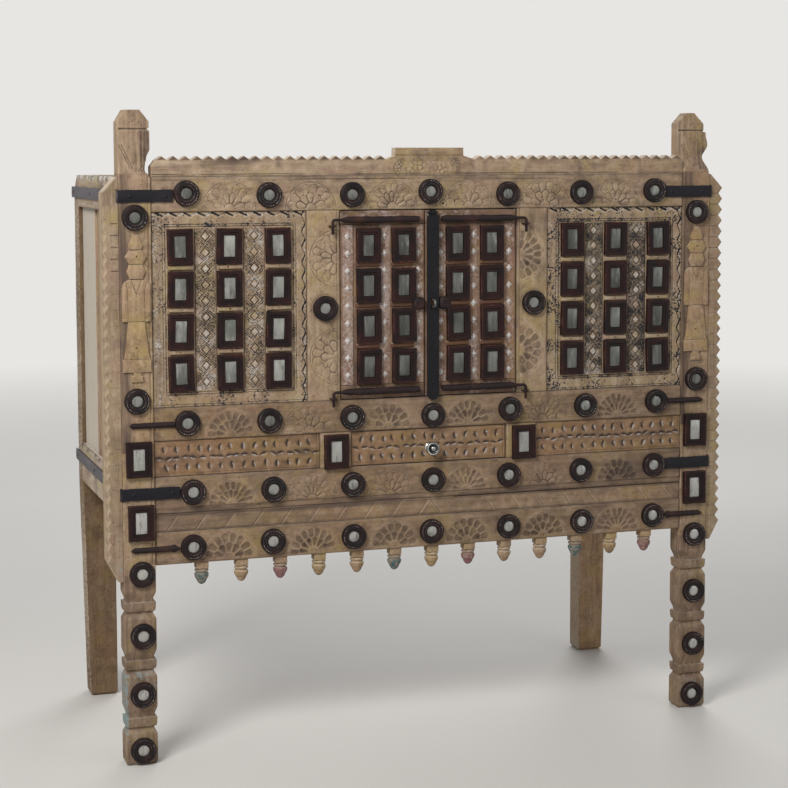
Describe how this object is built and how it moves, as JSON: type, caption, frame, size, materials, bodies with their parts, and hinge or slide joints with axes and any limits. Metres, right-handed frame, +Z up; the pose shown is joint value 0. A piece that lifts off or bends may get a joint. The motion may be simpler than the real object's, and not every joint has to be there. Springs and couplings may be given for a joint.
{
  "type": "damchiya chest",
  "caption": "Tall carved dowry chest on legs with mirrored panels, a pair of small hinged doors with a long hasp, and a shallow drawer below.",
  "frame": {"origin": "on the floor, under the middle of the chest's bounding box", "axes": "+X to the right along the front, +Y to the back, +Z up"},
  "size_m": [1.498, 0.661, 1.45],
  "materials": {
    "honey_wood": "dry, worn, carved",
    "pale_wood": "dry, bleached, with old paint",
    "carved_wood": "chip carved, dry",
    "inner_wood": "sawn, unfinished",
    "black_iron": "forged, blackened",
    "bright_metal": "worn bright",
    "mirror_frame": "dark gloss lacquer, chipped",
    "mirror_glass": "aged, cloudy",
    "old_paint": "worn paint"
  },
  "bodies": {
    "case": {"front_post_left": "honey_wood", "front_post_right": "honey_wood", "crest_rail": "honey_wood", "top_rail": "honey_wood", "middle_rail": "honey_wood", "lower_rail": "honey_wood", "bottom_rail": "honey_wood", "zigzag_board": "honey_wood", "muntin_left": "honey_wood", "muntin_right": "honey_wood", "divider_left": "honey_wood", "divider_right": "honey_wood", "side_top_rail_left": "honey_wood", "side_top_rail_right": "honey_wood", "side_bottom_rail_left": "honey_wood", "side_bottom_rail_right": "honey_wood", "rear_post_left": "pale_wood", "rear_post_right": "pale_wood", "mirror_panel_left": "pale_wood", "mirror_panel_right": "pale_wood", "edge_strip_left": "pale_wood", "edge_strip_right": "pale_wood", "side_panel_left": "pale_wood", "side_panel_right": "pale_wood", "carved_panel_left": "carved_wood", "carved_panel_right": "carved_wood", "back_panel": "inner_wood", "top_board": "inner_wood", "shelf_board": "inner_wood", "bottom_board": "inner_wood", "drawer_runner_left": "inner_wood", "drawer_runner_right": "inner_wood", "corner_strap_upper_left": "black_iron", "corner_strap_upper_right": "black_iron", "corner_strap_lower_left": "black_iron", "corner_strap_lower_right": "black_iron", "spike_middle_left": "black_iron", "spike_middle_right": "black_iron", "spike_bottom_left": "black_iron", "spike_bottom_right": "black_iron", "hinge_staple_upper_left": "black_iron", "hinge_staple_upper_right": "black_iron", "hinge_staple_lower_left": "black_iron", "hinge_staple_lower_right": "black_iron"},
    "door_left": {"door_leaf_left": "pale_wood", "hinge_bar_upper_left": "black_iron", "hinge_bar_lower_left": "black_iron", "lock_plate_left": "black_iron"},
    "door_right": {"door_leaf_right": "pale_wood", "hinge_bar_upper_right": "black_iron", "hinge_bar_lower_right": "black_iron", "lock_plate_right": "black_iron", "hasp_staple": "black_iron", "lock_staple": "bright_metal"},
    "hasp": {"hasp_bar": "black_iron"},
    "drawer": {"drawer_front": "carved_wood", "drawer_box": "inner_wood", "drawer_bottom": "inner_wood", "drawer_knob": "bright_metal"}
  },
  "joints": [
    {"name": "door_left_hinge", "type": "hinge", "parent": "case", "child": "door_left", "pos_m": [-0.234, -0.3125, 0.797], "axis": [0, 0, -1], "range_deg": [0, 150]},
    {"name": "door_right_hinge", "type": "hinge", "parent": "case", "child": "door_right", "pos_m": [0.234, -0.3125, 0.797], "axis": [0, 0, 1], "range_deg": [0, 150]},
    {"name": "hasp_swing", "type": "hinge", "parent": "door_right", "child": "hasp", "pos_m": [0.005, -0.31, 1.221], "axis": [-1, 0, 0], "range_deg": [0, 150]},
    {"name": "drawer_slide", "type": "slide", "parent": "case", "child": "drawer", "axis": [0, -1, 0], "range_m": [0, 0.25]}
  ]
}
